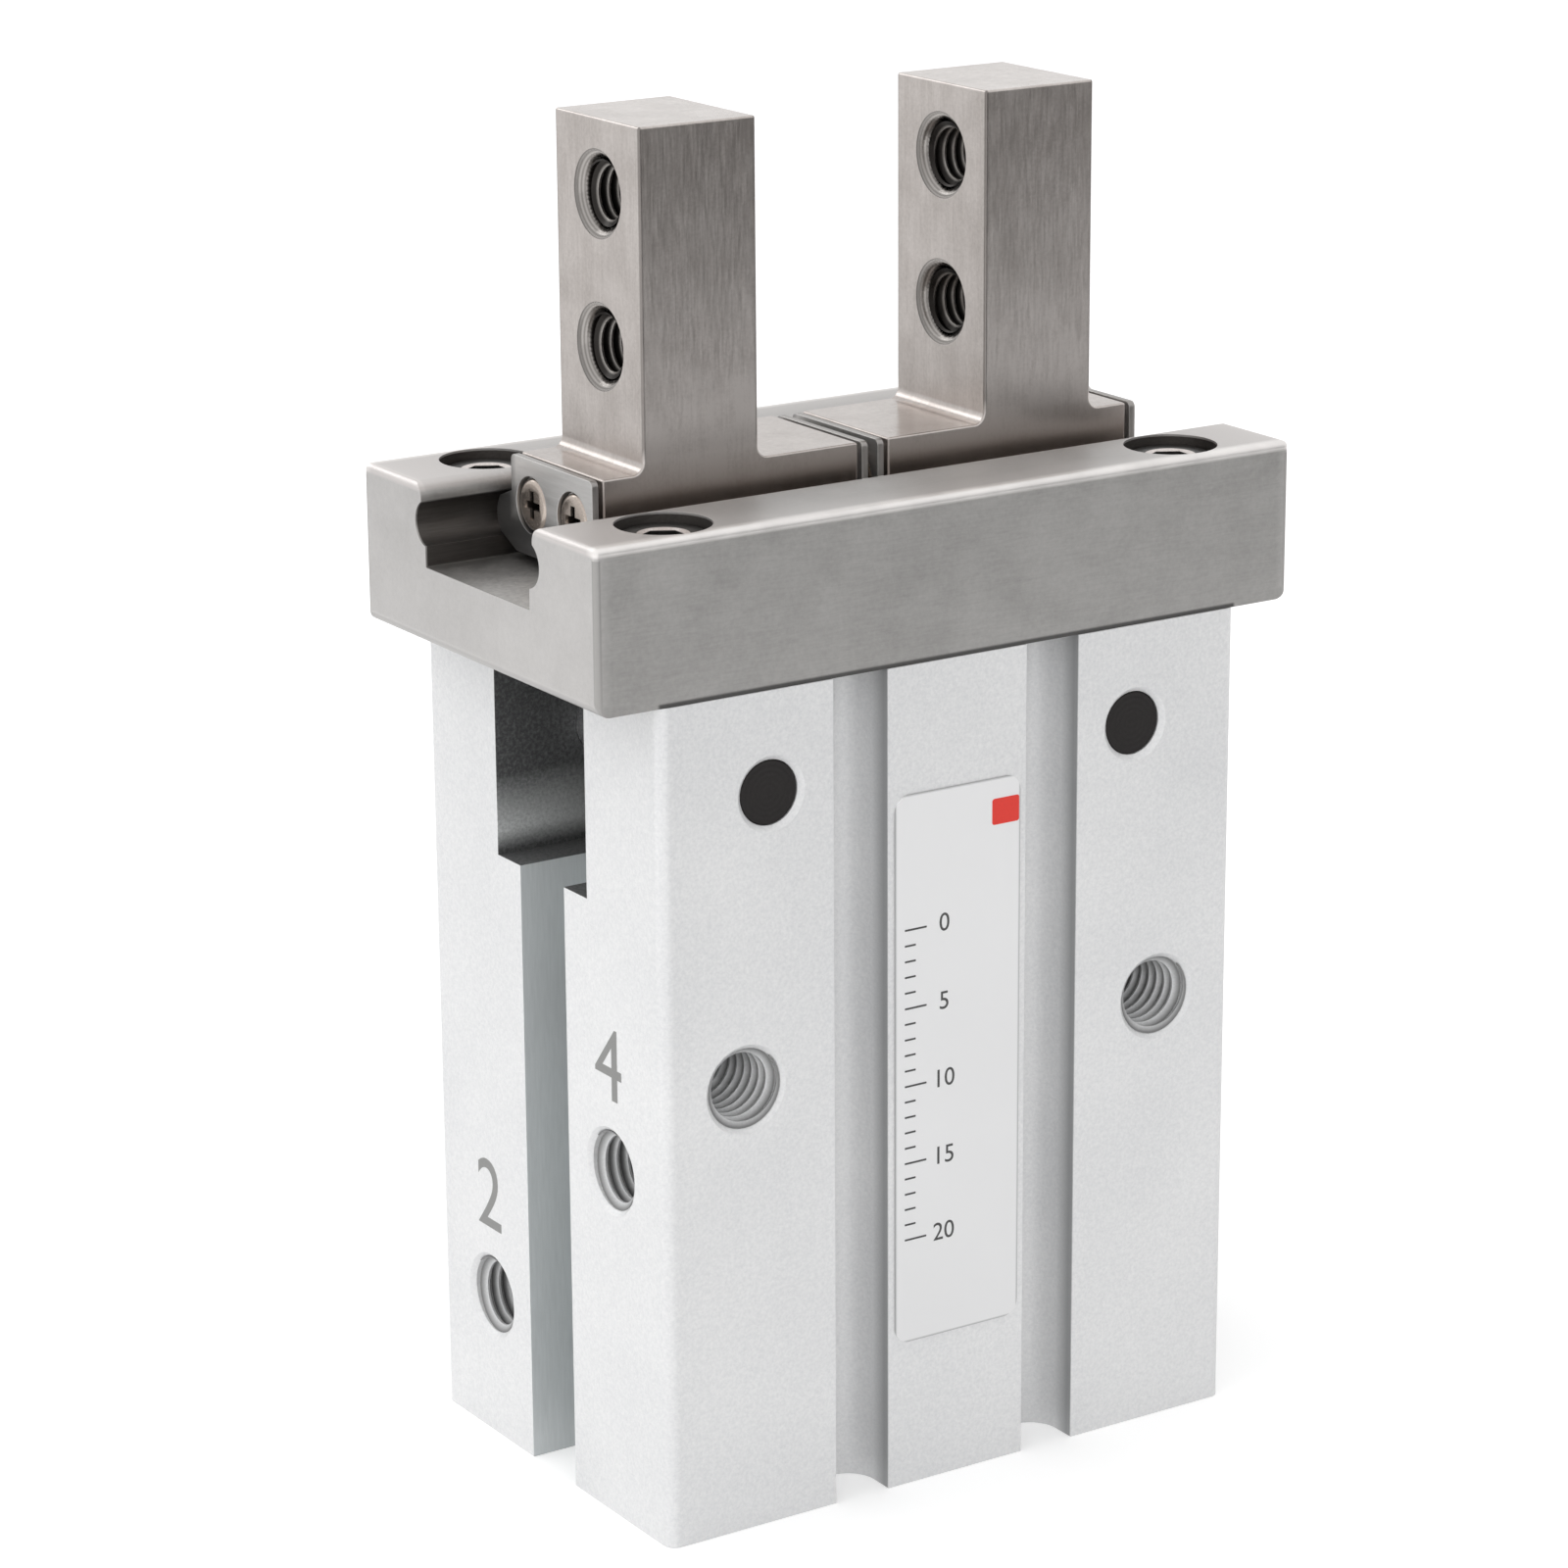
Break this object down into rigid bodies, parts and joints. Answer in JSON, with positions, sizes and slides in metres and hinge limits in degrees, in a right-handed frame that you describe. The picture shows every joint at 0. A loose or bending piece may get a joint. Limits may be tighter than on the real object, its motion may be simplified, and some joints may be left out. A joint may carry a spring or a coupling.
{
  "type": "pneumatic parallel gripper",
  "caption": "Pneumatic parallel gripper: an anodised body with a piston and levers that slide threaded fingers apart on a ball guide.",
  "frame": {"origin": "middle of the body's bottom mounting face", "axes": "+Z from the mounting face to the finger tips, X along the fingers' travel, -Y out of the face with the sensor grooves"},
  "size_m": [0.05, 0.0277, 0.0848],
  "materials": {
    "anodised_aluminium": "satin clear anodised",
    "guide_steel": "fine ground",
    "finger_steel": "ground, with grain along the finger",
    "plate_steel": "pressed sheet",
    "screw_steel": "dark",
    "plug_rubber": "matte black",
    "label_film": "satin film",
    "seal_rubber": "matte black",
    "bumper_urethane": "matte",
    "lever_steel": "hardened, dark",
    "rod_steel": "hard chromed",
    "ball_steel": "polished",
    "bush_bronze": "bearing bronze",
    "piston_aluminium": "turned",
    "magnet_ring": "bonded magnet",
    "ring_steel": "phosphated spring steel"
  },
  "bodies": {
    "housing": {"body": "anodised_aluminium", "guide": "guide_steel", "guide_screws": "screw_steel", "guide_dowels": "rod_steel", "end_cap": "piston_aluminium", "end_cap_seal": "seal_rubber", "retaining_ring": "ring_steel", "lower_bumper": "bumper_urethane", "upper_bumper": "bumper_urethane", "rod_bush": "bush_bronze", "rod_seal": "seal_rubber", "seal_retainer": "ring_steel", "label": "label_film", "left_lever_pin": "rod_steel", "right_lever_pin": "rod_steel", "left_pin_plugs": "plug_rubber", "right_pin_plugs": "plug_rubber"},
    "piston_unit": {"piston": "piston_aluminium", "piston_seal": "seal_rubber", "piston_magnet": "magnet_ring", "piston_rod": "rod_steel", "piston_screw": "screw_steel"},
    "left_lever_unit": {"left_lever": "lever_steel"},
    "left_finger_unit": {"left_finger": "finger_steel", "left_outer_end_plate": "plate_steel", "left_inner_end_plate": "plate_steel", "left_end_plate_screws": "screw_steel"},
    "left_ball_rows": {"left_guide_balls": "ball_steel"},
    "right_lever_unit": {"right_lever": "lever_steel"},
    "right_finger_unit": {"right_finger": "finger_steel", "right_outer_end_plate": "plate_steel", "right_inner_end_plate": "plate_steel", "right_end_plate_screws": "screw_steel"},
    "right_ball_rows": {"right_guide_balls": "ball_steel"}
  },
  "joints": [
    {"name": "piston_slide", "type": "slide", "parent": "housing", "child": "piston_unit", "axis": [0, 0, 1], "range_m": [0, 0.00333]},
    {"name": "left_lever_pivot", "type": "hinge", "parent": "housing", "child": "left_lever_unit", "pos_m": [-0.0133, 0, 0.04648], "axis": [0, -1, 0], "range_deg": [0, 21.34]},
    {"name": "left_finger_slide", "type": "slide", "parent": "housing", "child": "left_finger_unit", "axis": [-1, 0, 0], "range_m": [0, 0.005]},
    {"name": "left_ball_roll", "type": "slide", "parent": "housing", "child": "left_ball_rows", "axis": [-1, 0, 0], "range_m": [0, 0.0025]},
    {"name": "right_lever_pivot", "type": "hinge", "parent": "housing", "child": "right_lever_unit", "pos_m": [0.0133, 0, 0.04648], "axis": [0, 1, 0], "range_deg": [0, 21.34]},
    {"name": "right_finger_slide", "type": "slide", "parent": "housing", "child": "right_finger_unit", "axis": [1, 0, 0], "range_m": [0, 0.005]},
    {"name": "right_ball_roll", "type": "slide", "parent": "housing", "child": "right_ball_rows", "axis": [1, 0, 0], "range_m": [0, 0.0025]}
  ],
  "couplings": [
    {"joint": "left_lever_pivot", "follows": "piston_slide", "rad_per_m": 111.77},
    {"joint": "left_finger_slide", "follows": "piston_slide", "ratio": 1.5002},
    {"joint": "left_ball_roll", "follows": "piston_slide", "ratio": 0.75007},
    {"joint": "right_lever_pivot", "follows": "piston_slide", "rad_per_m": 111.77},
    {"joint": "right_finger_slide", "follows": "piston_slide", "ratio": 1.5002},
    {"joint": "right_ball_roll", "follows": "piston_slide", "ratio": 0.75007}
  ]
}
